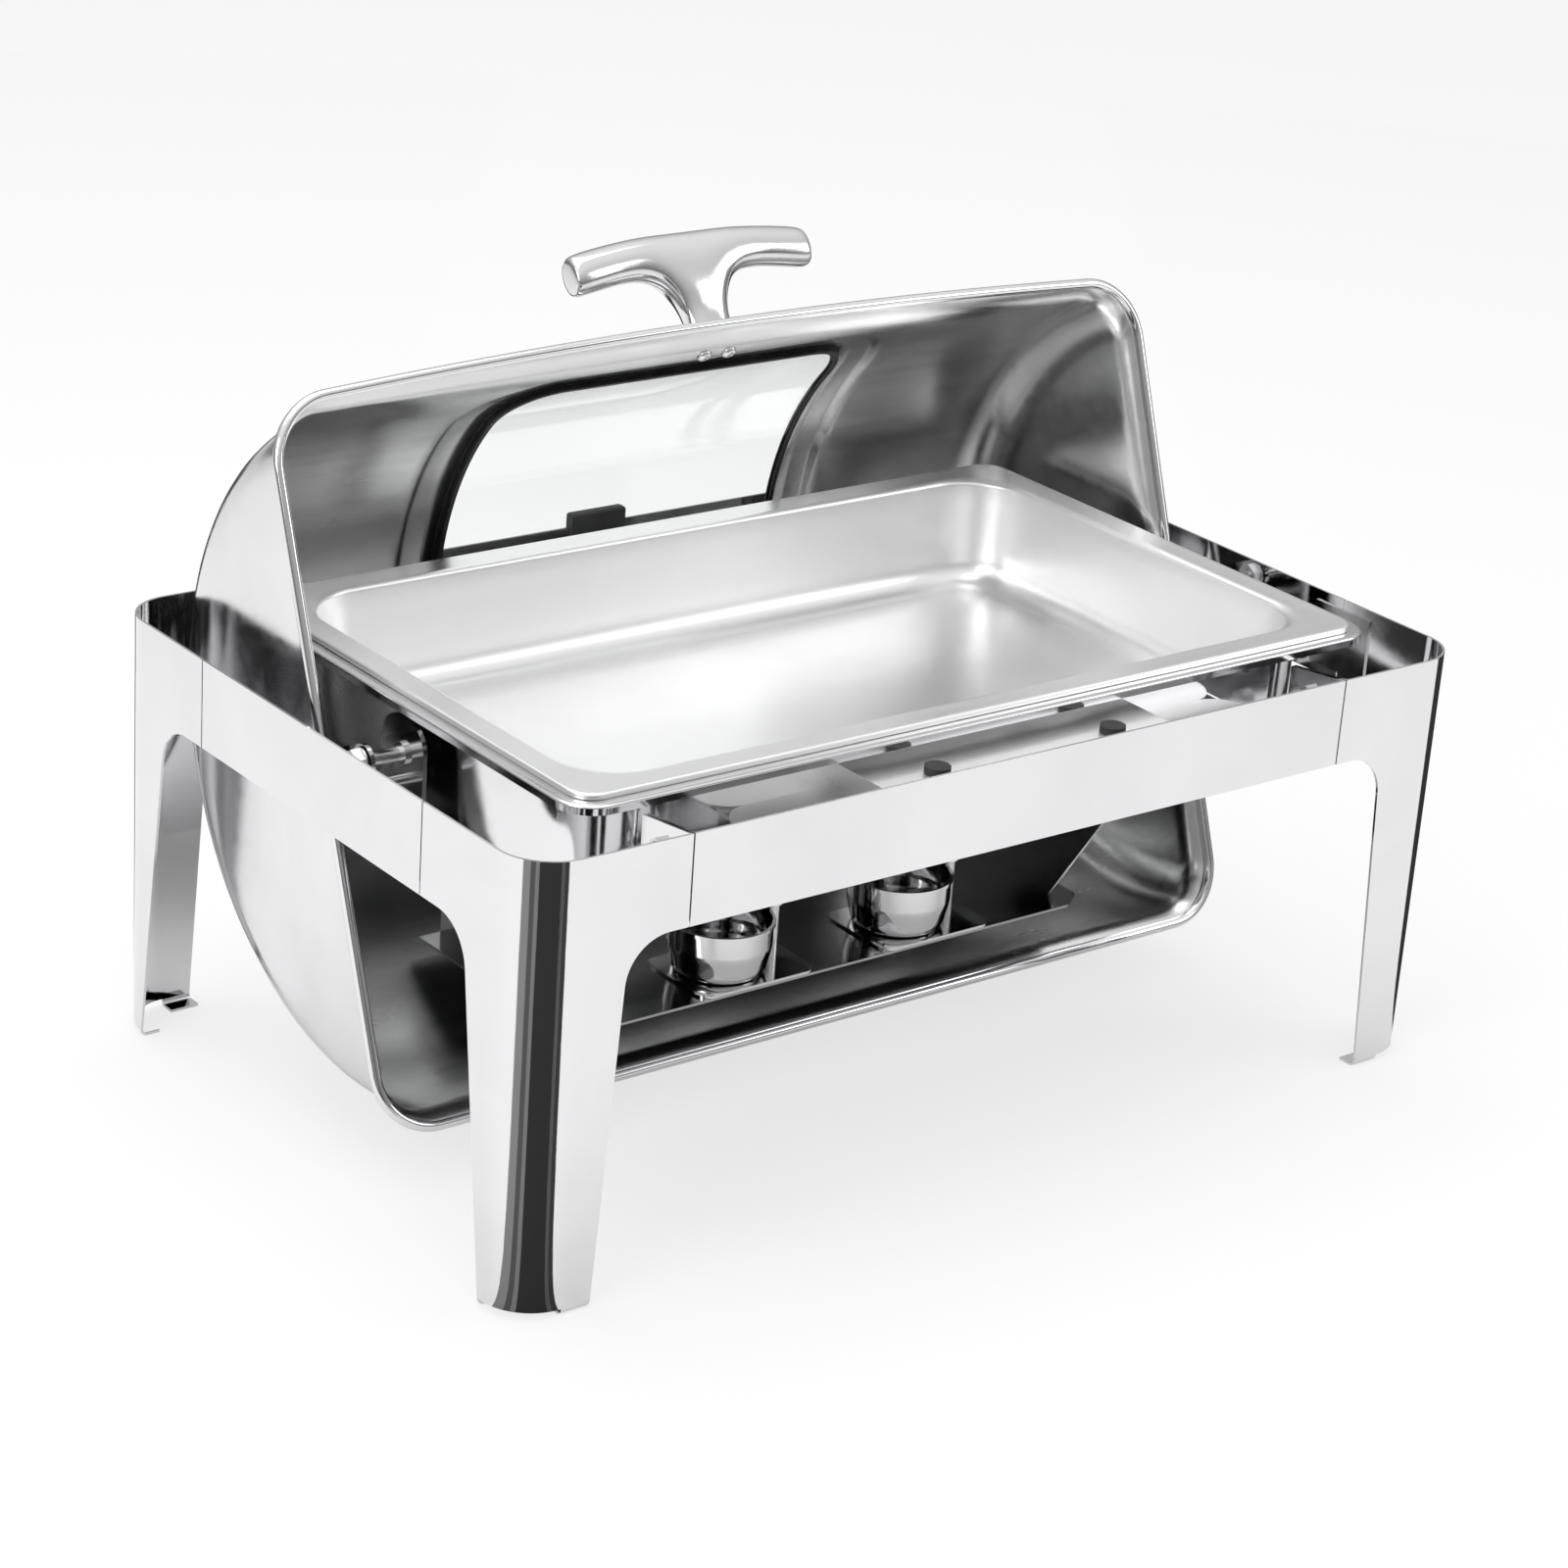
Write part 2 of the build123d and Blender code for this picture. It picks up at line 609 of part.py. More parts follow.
def lid_handle():
    """Cast T-handle: a drooping bar on a stem that flares into it."""
    wall_y = handle_wall_y()
    z = rim_z + handle_above_rim
    bar_y = wall_y - handle_reach
    sections = []
    for share, half_t in handle_bar:
        y = bar_y + handle_droop * share ** 2
        plane = Plane(origin=(share * handle_half, y, z), x_dir=(0, 1, 0), z_dir=(1, 0, 0))
        sections.append(plane * Ellipse(half_t, half_t * handle_thin))
    bar = loft(sections)
    stem_sections = []
    for y, half_x, half_z in ((bar_y, 38.0, 7.0), (bar_y + 16, 21.0, 7.0), (bar_y + 34, 13.5, 6.5),
                              (wall_y + 12, 14.5, 7.0)):
        plane = Plane(origin=(0, y, z), x_dir=(1, 0, 0), z_dir=(0, 1, 0))
        stem_sections.append(plane * Ellipse(half_x, half_z))
    lean = Pos(0, wall_y, z) * Rot(-handle_tilt, 0, 0) * Pos(0, -wall_y, -z)
    handle = lean * (bar + loft(stem_sections))
    handle -= Pos(0, 0, dome_z) * Rot(0, 90, 0) * Cylinder(lid_r, 200)
    for x in (-handle_screw_x, handle_screw_x):
        handle -= handle_screw_hole(x)
    return handle


def handle_screws():
    """Two screws from inside the dome into the handle's stem."""
    screws = []
    y = handle_wall_y()
    inside_y = y + lid_sheet + 1.2
    for x in (-handle_screw_x, handle_screw_x):
        place = Pos(x, 0, rim_z + handle_above_rim) * Rot(90, 0, 0)
        shank = place * Pos(0, 0, -(inside_y + y - 12) / 2) * Cylinder(handle_screw_r, inside_y - y + 12)
        head = place * Pos(0, 0, -(inside_y + 1.3)) * Cylinder(4.6, 2.6)
        screws.append(shank + head)
    return screws


def make_lid():
    """Everything that rolls open with the lid."""
    shell = lid_shell()
    high_r = lid_r + window_raise
    span = window_half + window_border_x
    inner_lip = gasket_web + gasket_lip
    glass = sector(high_r, high_r - glass_t, span) & window_prism(-gasket_web, -gasket_web)
    over_glass = window_prism(0, 0) - window_prism(-inner_lip, -inner_lip)
    over_sheet = window_prism(gasket_lip, gasket_lip) - window_prism(0, 0)
    gasket = sector(high_r + gasket_t, high_r - glass_t - gasket_t, span) & over_glass
    gasket += sector(high_r + gasket_t, high_r - lid_sheet - gasket_t, span) & over_sheet
    gasket = gasket - shell - glass
    save(opened(shell), "lid_shell")
    save(opened(lid_rim()), "lid_rim")
    save(opened(glass), "window_glass")
    save(opened(gasket), "window_gasket")
    arm = lid_arm()
    both_sides(opened(arm), "lid_arm")
    rivets = [opened(r) for r in arm_rivets()]
    rivets += [mirror(r, about=Plane.YZ) for r in rivets]
    save(Compound(rivets), "arm_rivets")
    save(opened(lid_handle()), "lid_handle")
    save(Compound([opened(s) for s in handle_screws()]), "handle_screws")


# ---------------------------------------------------------------- lid stops
def make_stops():
    """Rubber pads under the closed lid's front edge and the buffer on the back rail."""
    top = rim_z - 2 * bead_r - stop_gap
    y = -rim_half_y
    pads = [rod_z(bumper_r, bracket_z + bridge_h, top, x, y) for x in (-bumper_x, bumper_x)]
    save(Compound(pads), "lid_bumpers")

    block = box(-buffer_half, buffer_half, inner_back - buffer_wall, half_d + buffer_wall,
                frame_h - buffer_depth, frame_h + buffer_rise)
    long_edges = block.edges().filter_by(Axis.X).group_by(Axis.Z)[-1]
    end_edges = block.edges().filter_by(Axis.Y).group_by(Axis.Z)[-1]
    block = fillet(long_edges + end_edges, 2.4)
    slot = box(-buffer_half - 1, buffer_half + 1, inner_back, half_d, frame_h - buffer_depth - 1, frame_h)
    save(block - slot, "back_buffer")


# ---------------------------------------------------------------- fuel holders
def cup(x):
    """Spun cup with a rounded foot and a small rim."""
    floor = cup_base_t
    outer = cup_r - cup_rim
    inner = outer - cup_sheet
    bend_z = floor + cup_h * cup_bend
    wall_z = floor + cup_h * cup_wall
    with BuildLine() as line:
        Line((0, floor), (cup_foot_r, floor))
        Spline((cup_foot_r, floor), (outer - 1.6, bend_z), (outer, wall_z), tangents=((1, 0), (0.05, 1)))
        Polyline((outer, wall_z), (outer, cup_h - 2), (cup_r, cup_h - 2), (cup_r, cup_h), (inner, cup_h),
                 (inner, wall_z))
        Spline((inner, wall_z), (inner - 1.6, bend_z + cup_sheet), (cup_foot_r - 0.4, floor + cup_sheet),
               tangents=((-0.05, -1), (-1, 0)))
        Polyline((cup_foot_r - 0.4, floor + cup_sheet), (0, floor + cup_sheet), (0, floor))
    profile = Plane.XZ * make_face(line.line)
    return Pos(x, cup_y, shelf_z) * revolve(profile, Axis.Z)


def holder_base(x):
    """Base plate that carries a cup and its snuffer's post."""
    plate = extrude(RectangleRounded(cup_base_l, cup_base_w, 8), amount=cup_base_t)
    return Pos(x + cup_base_l / 2 - cup_foot_r - 10, cup_y, shelf_z) * plate


def post_x(x):
    """Post's place along X beside the cup at x."""
    return x + cup_r + post_gap


def snuffer(x):
    """Round snuffing plate with its strap and the hub round the post."""
    z0 = shelf_z + cup_h + running_gap
    reach = cup_r + post_gap
    disc = Pos(-reach, 0, z0 + snuffer_t / 2) * Cylinder(snuffer_r, snuffer_t)
    dish = Pos(-reach, 0, z0 + snuffer_t) * Cylinder(snuffer_r * 0.62, 2 * snuffer_t)
    strap = Pos(-reach / 2, 0, z0 + snuffer_t + 0.6) * Box(reach, 9.0, 1.2)
    hub = Pos(0, 0, z0 + 2.5) * Cylinder(post_r + 3.0, 5.0)
    plate = disc + dish + strap + hub
    plate -= Pos(0, 0, z0 + 2.5) * Cylinder(post_r + pin_clearance, 12)
    return swung(plate, x)


def swung(solid, x):
    """Swing a piece drawn over its cup round to the open side of the post."""
    return Pos(post_x(x), cup_y, 0) * Rot(0, 0, snuffer_open - 180) * solid


def snuffer_wire(x):
    """Wire grip on the snuffer's strap that ends in a small loop."""
    reach = cup_r + post_gap
    z = shelf_z + cup_h + running_gap + 2 * snuffer_t + wire_r
    start = (-reach, 0, z)
    knee = (-reach - 14, 0, z + 6)
    end = (-reach - 30, 0, z + 6)
    grip = FilletPolyline(start, knee, end, radius=8.0)
    stem = sweep(Plane(origin=start, z_dir=grip % 0) * Circle(wire_r), path=grip)
    loop = Pos(end[0] - wire_loop_r, 0, z + 6) * Torus(wire_loop_r, wire_r)
    return swung(stem + loop, x)


def make_holders():
    """Two fuel holders, each with a post, a snuffer and its wire grip."""
    for side, name in ((-1, "left"), (1, "right")):
        x = side * cup_x
        save(cup(x), f"fuel_cup_{name}")
        save(holder_base(x), f"fuel_cup_base_{name}")
        base_top = shelf_z + cup_base_t
        cap_z = shelf_z + cup_h + running_gap + 5.0 + running_gap
        post = rod_z(post_r, base_top, cap_z, post_x(x), cup_y)
        post += rod_z(post_r + 1.6, cap_z, cap_z + 2.4, post_x(x), cup_y)
        post += rod_z(post_r + 1.6, base_top, shelf_z + cup_h, post_x(x), cup_y)
        save(post, f"snuffer_post_{name}")
        save(snuffer(x), f"snuffer_{name}")
        save(snuffer_wire(x), f"snuffer_grip_{name}")


make_frame()
make_cradle()
make_hinges()
make_pans()
make_lid()
make_stops()
make_holders()
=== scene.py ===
"""Roll-top chafing dish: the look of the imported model.

Metres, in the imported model's frame: +Z up, +X along the front to the right, +Y towards the back.
The lid's extra pieces are drawn closed and turned about the pivot to the open rest pose.
"""
import json
import math

import bmesh
import bpy
from mathutils import Matrix, Vector


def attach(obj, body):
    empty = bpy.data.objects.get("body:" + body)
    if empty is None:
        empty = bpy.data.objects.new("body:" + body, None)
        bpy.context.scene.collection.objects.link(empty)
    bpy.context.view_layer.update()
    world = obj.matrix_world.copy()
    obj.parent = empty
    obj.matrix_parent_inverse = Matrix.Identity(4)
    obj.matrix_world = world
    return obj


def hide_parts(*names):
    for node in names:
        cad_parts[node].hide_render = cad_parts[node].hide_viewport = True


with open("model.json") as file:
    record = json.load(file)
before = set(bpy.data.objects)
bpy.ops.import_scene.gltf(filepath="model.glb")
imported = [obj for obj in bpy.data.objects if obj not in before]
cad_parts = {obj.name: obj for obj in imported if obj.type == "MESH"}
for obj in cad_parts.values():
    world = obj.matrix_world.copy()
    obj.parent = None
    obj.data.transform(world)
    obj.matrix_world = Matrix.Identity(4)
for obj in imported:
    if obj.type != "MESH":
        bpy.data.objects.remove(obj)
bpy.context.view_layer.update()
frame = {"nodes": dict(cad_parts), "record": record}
nodes = frame["nodes"]

# ---------------------------------------------------------------- sizes shared with the CAD model
PIVOT = Vector((0.0, -0.007, 0.229))
OPEN_ANGLE = math.radians(110.0)
LID_R = 0.187
RIM_Z = PIVOT.z + 0.0275
DOME_Z = RIM_Z - 0.012
HANDLE_Z = RIM_Z + 0.015
HANDLE_WALL = -math.sqrt(LID_R ** 2 - (HANDLE_Z - DOME_Z) ** 2)
HANDLE_TILT = math.radians(14.0)
HANDLE_BITE = 0.0006
HANDLE_SCREW_X = 0.0085
PAN_RIM_Z = 0.264
WATER_RIM_Z = 0.2606
PAN_CORNER_GROWTH = 1.33
MOUTH_INSET = 0.018
SHELL_HALF = 0.290
SHELL_EDGE_R = 0.028
SHELL_T = 0.001
RIM_DROP = RIM_Z - DOME_Z
FLARE_X = 0.007
FLARE_Y = 0.0065
FLARE_HEIGHT = 0.012
BOW_HEIGHT = 0.032
RIM_X = SHELL_HALF + FLARE_X
RIM_Y = math.sqrt(LID_R ** 2 - RIM_DROP ** 2) + FLARE_Y
RIM_CORNER_R = 0.034
RIM_BOW = 0.009
BEAD_R = 0.003
WINDOW_MID = math.radians(134.0)
WINDOW_HALF_X = 0.120
WINDOW_HALF_S = LID_R * math.sin(math.radians(30.0))
WINDOW_R = 0.034
PANEL_X = WINDOW_HALF_X + 0.026
PANEL_S = WINDOW_HALF_S + 0.014
PANEL_R = WINDOW_R + 0.014
PANEL_RAISE = 0.003
PAN_SHEET = 0.0009
CORNER_STEPS = 10
LEG_X = 0.290
LEG_Y = 0.178


# ---------------------------------------------------------------- materials
def new_material(name):
    """Empty node material with an output and a Principled shader."""
    material = bpy.data.materials.new(name)
    material.use_nodes = True
    tree = material.node_tree
    tree.nodes.clear()
    output = tree.nodes.new("ShaderNodeOutputMaterial")
    shader = tree.nodes.new("ShaderNodeBsdfPrincipled")
    tree.links.new(shader.outputs["BSDF"], output.inputs["Surface"])
    return material, tree, shader


def noise(tree, scale, detail=3.0, roughness=0.5, stretch=(1.0, 1.0, 1.0), distortion=0.0):
    """Noise over the piece's own coordinates, stretched along an axis for grain."""
    place = tree.nodes.new("ShaderNodeTexCoord")
    mapping = tree.nodes.new("ShaderNodeMapping")
    mapping.inputs["Scale"].default_value = stretch
    texture = tree.nodes.new("ShaderNodeTexNoise")
    texture.inputs["Scale"].default_value = scale
    texture.inputs["Detail"].default_value = detail
    texture.inputs["Roughness"].default_value = roughness
    texture.inputs["Distortion"].default_value = distortion
    tree.links.new(place.outputs["Object"], mapping.inputs["Vector"])
    tree.links.new(mapping.outputs["Vector"], texture.inputs["Vector"])
    return texture.outputs["Fac"]


def remap(tree, value, low, high, out_low, out_high):
    """Map a value's range to another, clamped."""
    node = tree.nodes.new("ShaderNodeMapRange")
    node.inputs["From Min"].default_value = low
    node.inputs["From Max"].default_value = high
    node.inputs["To Min"].default_value = out_low
    node.inputs["To Max"].default_value = out_high
    tree.links.new(value, node.inputs["Value"])
    return node.outputs["Result"]


def math_node(tree, operation, first, second):
    """Arithmetic on two values, each a socket or a number."""
    node = tree.nodes.new("ShaderNodeMath")
    node.operation = operation
    for index, value in enumerate((first, second)):
        if isinstance(value, (int, float)):
            node.inputs[index].default_value = value
        else:
            tree.links.new(value, node.inputs[index])
    return node.outputs["Value"]


def bump(tree, height, strength, distance, normal=None):
    """Bump node, on top of another one where given."""
    node = tree.nodes.new("ShaderNodeBump")
    node.inputs["Strength"].default_value = strength
    node.inputs["Distance"].default_value = distance
    tree.links.new(height, node.inputs["Height"])
    if normal is not None:
        tree.links.new(normal, node.inputs["Normal"])
    return node.outputs["Normal"]


def mix_colour(tree, factor, first, second):
    """Blend of two colours."""
    node = tree.nodes.new("ShaderNodeMix")
    node.data_type = "RGBA"
    node.inputs["A"].default_value = (*first, 1.0)
    node.inputs["B"].default_value = (*second, 1.0)
    tree.links.new(factor, node.inputs["Factor"])
    return node.outputs["Result"]


def steel(name, bright, dull, rough, smudge, grain, grain_axis, wave):
    """Stainless steel: polishing lines along an axis, faint smudges and a slightly wavy sheet."""
    material, tree, shader = new_material(name)
    shader.inputs["Metallic"].default_value = 1.0
    stretch = [1.0, 1.0, 1.0]
    stretch["xyz".index(grain_axis)] = 0.02
    lines = noise(tree, 1400.0, 4.0, 0.65, stretch)
    streaks = noise(tree, 120.0, 3.0, 0.6, stretch)
    cloud = noise(tree, 9.0, 4.0, 0.55, distortion=0.6)
    shader_colour = mix_colour(tree, remap(tree, cloud, 0.3, 0.7, 0.0, 1.0), bright, dull)
    tree.links.new(shader_colour, shader.inputs["Base Color"])
    base = remap(tree, cloud, 0.35, 0.7, rough, rough + smudge)
    fine = remap(tree, streaks, 0.35, 0.65, 0.0, smudge * 0.6)
    tree.links.new(math_node(tree, "ADD", base, fine), shader.inputs["Roughness"])
    sheet = noise(tree, 7.0, 1.0, 0.4)
    normal = bump(tree, sheet, wave, 0.004)
    normal = bump(tree, lines, grain, 0.0002, normal)
    tree.links.new(normal, shader.inputs["Normal"])
    return material


def cast_metal(name):
    """Polished casting: very slight pitting and a soft uneven surface."""
    material, tree, shader = new_material(name)
    shader.inputs["Metallic"].default_value = 1.0
    cloud = noise(tree, 45.0, 3.0, 0.5)
    pits = noise(tree, 900.0, 2.0, 0.6)
    colour = mix_colour(tree, cloud, (0.80, 0.80, 0.80), (0.70, 0.70, 0.71))
    tree.links.new(colour, shader.inputs["Base Color"])
    tree.links.new(remap(tree, cloud, 0.3, 0.7, 0.10, 0.2), shader.inputs["Roughness"])
    normal = bump(tree, cloud, 0.12, 0.0015)
    normal = bump(tree, pits, 0.08, 0.0002, normal)
    tree.links.new(normal, shader.inputs["Normal"])
    return material


def rubber(name, dark, light, rough):
    """Black rubber with a fine moulded grain and dusty patches."""
    material, tree, shader = new_material(name)
    grain = noise(tree, 1600.0, 3.0, 0.7)
    dust = noise(tree, 60.0, 4.0, 0.6)
    tree.links.new(mix_colour(tree, remap(tree, dust, 0.4, 0.75, 0.0, 1.0), dark, light),
                   shader.inputs["Base Color"])
    tree.links.new(remap(tree, dust, 0.3, 0.7, rough, rough + 0.15), shader.inputs["Roughness"])
    tree.links.new(bump(tree, grain, 0.25, 0.0003), shader.inputs["Normal"])
    return material


def window_material(name):
    """Clear tempered glass with a trace of wiping marks."""
    material, tree, shader = new_material(name)
    shader.inputs["Base Color"].default_value = (0.97, 0.985, 0.98, 1.0)
    shader.inputs["Transmission Weight"].default_value = 1.0
    shader.inputs["IOR"].default_value = 1.45
    wipes = noise(tree, 18.0, 4.0, 0.6, (1.0, 0.25, 0.25), 1.2)
    tree.links.new(remap(tree, wipes, 0.45, 0.8, 0.0, 0.05), shader.inputs["Roughness"])
    return material


mirror_steel = steel("steel_frame", (0.80, 0.80, 0.81), (0.74, 0.74, 0.75), 0.035, 0.035, 0.03, "x", 0.10)
leg_steel = steel("steel_leg", (0.80, 0.80, 0.81), (0.74, 0.74, 0.75), 0.035, 0.035, 0.03, "z", 0.10)
lid_steel = steel("steel_lid", (0.80, 0.80, 0.81), (0.72, 0.72, 0.73), 0.10, 0.08, 0.06, "x", 0.12)
bead_steel = steel("steel_bead", (0.84, 0.84, 0.85), (0.78, 0.78, 0.79), 0.06, 0.03, 0.03, "x", 0.03)
lid_satin = steel("steel_lid_inside", (0.76, 0.76, 0.76), (0.70, 0.70, 0.70), 0.19, 0.06, 0.012, "x", 0.03)
# Painted light: the food pan's steel is paler than the other steel so that its inside reads as brightly lit.
pan_steel = steel("steel_pan", (0.94, 0.94, 0.94), (0.90, 0.90, 0.90), 0.29, 0.05, 0.015, "x", 0.01)
water_steel = steel("steel_water_pan", (0.80, 0.80, 0.81), (0.74, 0.74, 0.75), 0.06, 0.06, 0.04, "x", 0.10)
cradle_steel = steel("steel_cradle", (0.50, 0.50, 0.50), (0.42, 0.42, 0.43), 0.09, 0.06, 0.03, "x", 0.03)
bracket_steel = steel("steel_bracket", (0.90, 0.90, 0.90), (0.84, 0.84, 0.84), 0.38, 0.06, 0.02, "x", 0.02)
burner_steel = steel("steel_burner", (0.82, 0.82, 0.82), (0.74, 0.74, 0.75), 0.05, 0.05, 0.04, "z", 0.06)
screw_steel = steel("steel_screw", (0.72, 0.72, 0.72), (0.60, 0.60, 0.61), 0.16, 0.10, 0.08, "y", 0.02)
handle_metal = cast_metal("cast_handle")
gasket_rubber = rubber("rubber_gasket", (0.010, 0.010, 0.010), (0.030, 0.030, 0.030), 0.45)
stop_rubber = rubber("rubber_stop", (0.014, 0.014, 0.014), (0.04, 0.04, 0.04), 0.6)
bush_plastic = rubber("plastic_bush", (0.03, 0.03, 0.032), (0.055, 0.055, 0.056), 0.4)
window_clear = window_material("glass_window")

MATERIAL_OF = {
    "polished_frame": mirror_steel,
    "lid_steel": lid_steel,
    "pan_steel": pan_steel,
    "water_pan_steel": water_steel,
    "cast_handle": handle_metal,
    "window_glass": window_clear,
    "gasket_rubber": gasket_rubber,
    "stop_rubber": stop_rubber,
    "bush_plastic": bush_plastic,
    "fastener_steel": screw_steel,
    "burner_steel": burner_steel,
    "cradle_steel": cradle_steel,
}


def dress_cad_nodes():
    """Give every CAD node its material and smooth shading over its curved faces."""
    slots = {part["node"]: part["material_slot"] for part in frame["record"]["subparts"]}
    for name, node in nodes.items():
        material = MATERIAL_OF[slots[name]]
        if name.startswith("leg_"):
            material = leg_steel
        if name == "lid_rim":
            material = bead_steel
        if name in ("front_bracket", "lid_rest_bridge"):
            material = bracket_steel
        node.data.materials.clear()
        node.data.materials.append(material)
        node.data.shade_smooth()
        node.data.set_sharp_from_angle(angle=math.radians(28.0))


# ---------------------------------------------------------------- mesh helpers
def add_piece(name, mesh_data, body, material, replaces=()):
    """Make an object from vertices and faces, ride it on a body and hide the CAD parts it replaces."""
    vertices, faces = mesh_data
    mesh = bpy.data.meshes.new(name)
    mesh.from_pydata([tuple(v) for v in vertices], [], faces)
    mesh.validate()
    work = bmesh.new()
    work.from_mesh(mesh)
    bmesh.ops.remove_doubles(work, verts=work.verts, dist=1e-6)
    bmesh.ops.recalc_face_normals(work, faces=work.faces)
    work.to_mesh(mesh)
    work.free()
    mesh.materials.append(material)
    mesh.shade_smooth()
    piece = bpy.data.objects.new(name, mesh)
    bpy.context.scene.collection.objects.link(piece)
    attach(piece, body)
    if replaces:
        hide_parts(*replaces)
    return piece


def opened(point):
    """Turn a point of the closed lid to the open rest pose."""
    turn = Matrix.Rotation(-OPEN_ANGLE, 4, "X")
    return PIVOT + turn @ (Vector(point) - PIVOT)


def rounded_loop(half_x, half_y, radius, z, centre_y, steps=CORNER_STEPS):
    """Points round a rounded rectangle, counter-clockwise."""
    points = []
    for turn, (sx, sy) in enumerate(((1, 1), (-1, 1), (-1, -1), (1, -1))):
        for step in range(steps + 1):
            angle = math.pi / 2 * (turn + step / steps)
            x = sx * (half_x - radius) + radius * math.cos(angle)
            y = sy * (half_y - radius) + radius * math.sin(angle)
            points.append(Vector((x, centre_y + y, z)))
    return points


def stitch(loops):
    """Quads between loops with equal counts of points."""
    count = len(loops[0])
    vertices = [point for loop in loops for point in loop]
    faces = []
    for row in range(len(loops) - 1):
        below = row * count
        above = below + count
        for column in range(count):
            following = (column + 1) % count
            faces.append((below + column, below + following, above + following, above + column))
    return vertices, faces


def arc(centre, radius, start, end, steps):
    """Points (a, b) on an arc, angles in degrees."""
    angles = [math.radians(start + (end - start) * i / steps) for i in range(steps + 1)]
    return [(centre[0] + radius * math.cos(a), centre[1] + radius * math.sin(a)) for a in angles]


# ---------------------------------------------------------------- pans
def sheet_both_faces(profile, thickness):
    """Closed section of a sheet from the (inset, height) line of its upper face."""
    lower = []
    for index, (a, b) in enumerate(profile):
        before = profile[max(index - 1, 0)]
        after = profile[min(index + 1, len(profile) - 1)]
        along = Vector((after[0] - before[0], after[1] - before[1])).normalized()
        lower.append((a - along.y * -thickness, b - along.x * thickness))
    return profile + lower[::-1]


def pan_mesh(half_x, half_y, rim_r, profile, thickness, rim_z):
    """Pressed pan from a section given as (inset from the rim's edge, height over the rim)."""
    section = sheet_both_faces(profile, thickness)
    loops = []
    for inset, height in section:
        radius = max(rim_r + (inset * PAN_CORNER_GROWTH if inset < MOUTH_INSET else
                              MOUTH_INSET * PAN_CORNER_GROWTH - (inset - MOUTH_INSET)), 0.004)
        loops.append(rounded_loop(half_x - inset, half_y - inset, radius, rim_z + height, PIVOT.y))
    return stitch(loops), len(profile)


def food_pan():
    """Food pan: turned-down edge, flat rim, tapered walls and a rounded floor with a faint crown."""
    rim = [(0.0006, -0.0034), (0.0, -0.0029), (0.0, -0.0015)] + arc((0.0012, -0.0012), 0.0012, 180.0, 90.0, 5)
    rim += [(0.0035, -0.0001), (0.0080, -0.0003), (0.0130, -0.0003)]
    lip = arc((0.0146, -0.0040), 0.0037, 90.0, 7.0, 8)
    depth = 0.0641
    wall = [(0.0184 + 0.0045 * t / 6, -0.0075 - 0.0385 * t / 6) for t in range(1, 7)]
    bend = [(0.0392 - 0.0162 * math.cos(math.radians(a)), -depth + 0.0165 - 0.0165 * math.sin(math.radians(a)))
            for a in (8, 18, 28, 38, 48, 58, 68, 79, 90)]
    flat = [(0.050, -depth + 0.0001), (0.075, -depth + 0.0004), (0.105, -depth + 0.0007),
            (0.135, -depth + 0.0008)]
    return rim + lip + wall + bend + flat


def water_pan():
    """Water pan: turned-down rim, straight walls and a rounded floor."""
    rim = [(0.0, -0.0050), (0.0, -0.0015)] + arc((0.0012, -0.0012), 0.0012, 180.0, 90.0, 4)
    rim += [(0.006, 0.0), (0.012, -0.0001), (0.016, -0.0001)]
    lip = arc((0.0172, -0.0026), 0.0025, 90.0, 5.0, 6)
    depth = 0.0811
    wall = [(0.0198 + 0.0013 * t / 6, -0.008 - 0.056 * t / 6) for t in range(7)]
    bend = [(0.0375 - 0.0162 * math.cos(math.radians(a)), -depth + 0.0165 - 0.0165 * math.sin(math.radians(a)))
            for a in (5, 20, 32, 44, 56, 68, 80, 90)]
    flat = [(0.050, -depth), (0.090, -depth), (0.140, -depth)]
    return rim + lip + wall + bend + flat


def fill_middle(mesh_data, loop_rows, count):
    """Close the pan's floor on both faces with strips across the innermost loops."""
    vertices, faces = mesh_data
    half = count // 2
    for row in loop_rows:
        start = row * count
        for step in range(half - 1):
            faces.append((start + step, start + step + 1, start + count - 2 - step, start + count - 1 - step))
    return vertices, faces


def add_pans():
    """Both pans as smooth pressed sheet."""
    for name, node, profile, half, rim_r, top in (
            ("food_pan_pressed", "food_pan", food_pan(), (0.265, 0.1625), 0.014, PAN_RIM_Z),
            ("water_pan_pressed", "water_pan", water_pan(), (0.272, 0.1695), 0.021, WATER_RIM_Z)):
        (vertices, faces), rows = pan_mesh(half[0], half[1], rim_r, profile, PAN_SHEET, top)
        count = 4 * (CORNER_STEPS + 1)
        join = (rows - 1) * count
        faces = [f for f in faces if not (join <= min(f) and min(f) < join + count and max(f) >= join + count)]
        outer = len(vertices) - count
        for column in range(count):
            following = (column + 1) % count
            faces.append((outer + column, outer + following, following, column))
        mesh_data = fill_middle((vertices, faces), (rows - 1, rows), count)
        material = pan_steel if node == "food_pan" else water_steel
        piece = add_piece(name, mesh_data, node, material, (node,))
        piece.data.set_sharp_from_angle(angle=math.radians(50.0))


# ---------------------------------------------------------------- lid
def pressed(x, y, z, turn):
    """Point of the pressed shell: its edge flares out to the bead and bows at the front."""
    height = z - RIM_Z
    flare = max(0.0, 1.0 - height / FLARE_HEIGHT) ** 2.5
    side_x = math.copysign(math.sin(turn), x)
    side_y = math.copysign(math.cos(turn), y)
    out_x = x + side_x * (RIM_X - SHELL_HALF) * flare
    out_y = y + side_y * FLARE_Y * flare
    if y < 0:
        out_y -= rim_bow(x) * max(0.0, 1.0 - height / BOW_HEIGHT) ** 2
    return opened((out_x, out_y, z))


def rim_bow(x):
    """How far the front edge stands out at x."""
    return RIM_BOW * max(0.0, 1.0 - (x / RIM_X) ** 2)


